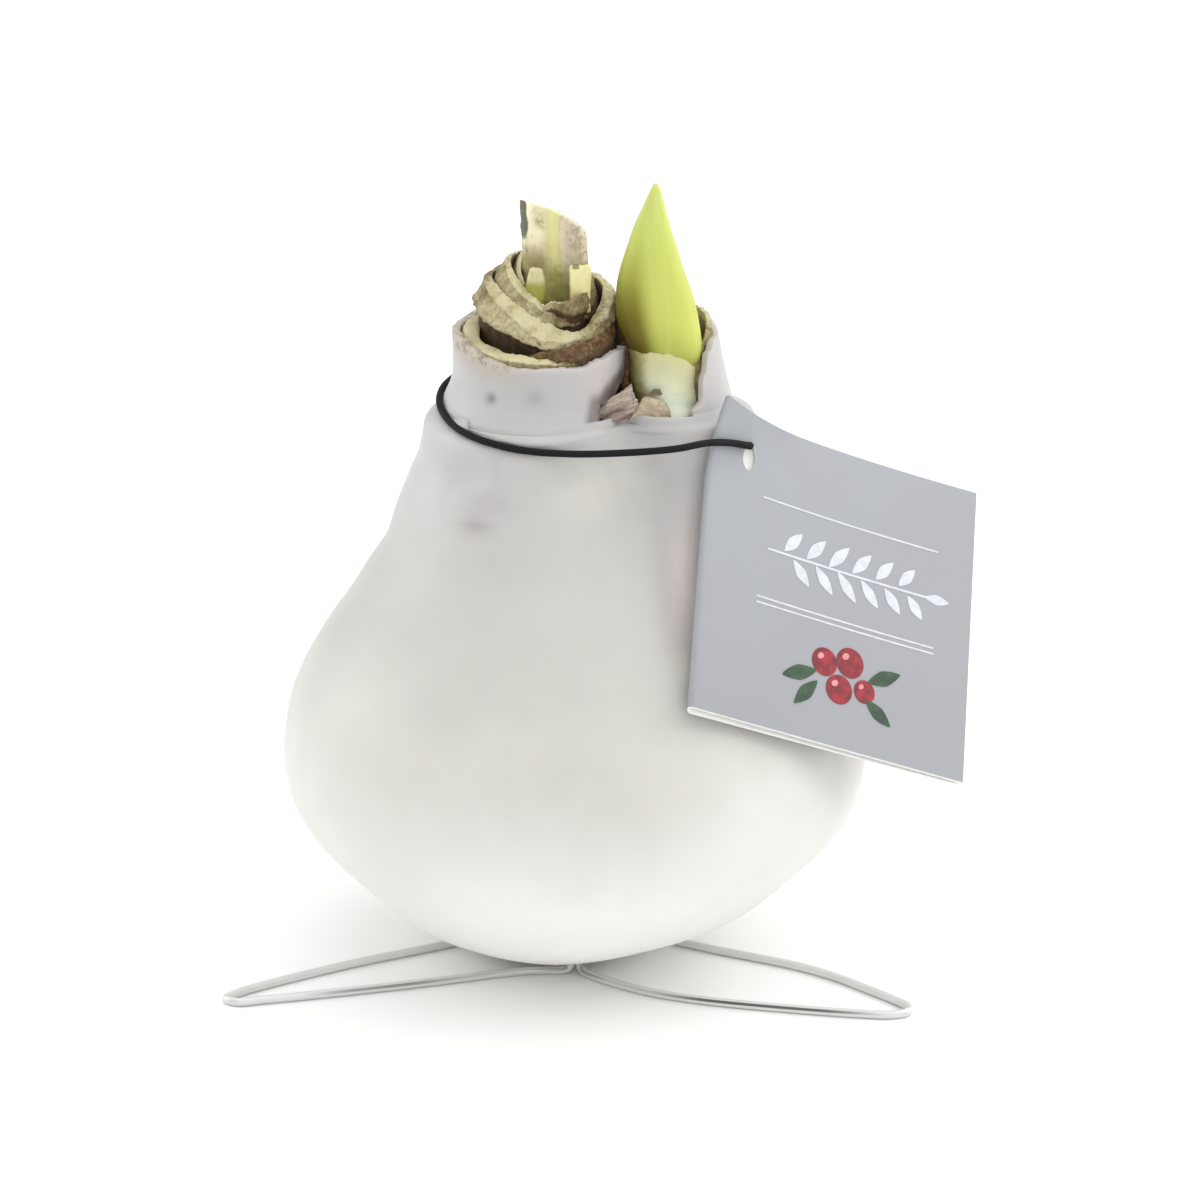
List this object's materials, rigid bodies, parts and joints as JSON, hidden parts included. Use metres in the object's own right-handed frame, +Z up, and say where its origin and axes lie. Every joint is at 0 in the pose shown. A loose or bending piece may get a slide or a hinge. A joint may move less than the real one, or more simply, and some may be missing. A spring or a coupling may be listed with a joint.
{
  "type": "waxed amaryllis bulb on wire stand",
  "caption": "Wax-coated amaryllis bulb with a cut neck and a green flower bud, on a bent wire stand, with a folded hang tag on a black elastic.",
  "frame": {"origin": "bottom centre of the bounding box, on the surface that the stand rests on", "axes": "+Z up along the bulb; -Y is the front, where the stand's wire ends meet; the hang tag is at +X"},
  "size_m": [0.1236, 0.1096, 0.132],
  "materials": {
    "wax": "satin white wax, slightly translucent",
    "bulb_flesh": "dried cream scales with brown cut edges",
    "bud": "satin lime green, paler at the tip and edge",
    "leaf": "cut leaf, pale yellow with green and dry brown",
    "green_stub": "satin green",
    "pale_stub": "satin pale yellow",
    "papery_scale": "dry torn bulb skin",
    "elastic": "matt black braided elastic",
    "tag_card": "smooth satin grey card",
    "wire": "bright drawn wire"
  },
  "bodies": {
    "root": {"wax_coat": "wax", "bulb": "bulb_flesh", "flower_bud": "bud", "bud_wax": "wax", "cut_leaf": "leaf", "leaf_stub_green": "green_stub", "leaf_stub_pale": "pale_stub", "notch_scale": "papery_scale", "foot_scale": "papery_scale", "elastic_cord": "elastic", "tag": "tag_card", "wire_stand": "wire"}
  },
  "joints": []
}
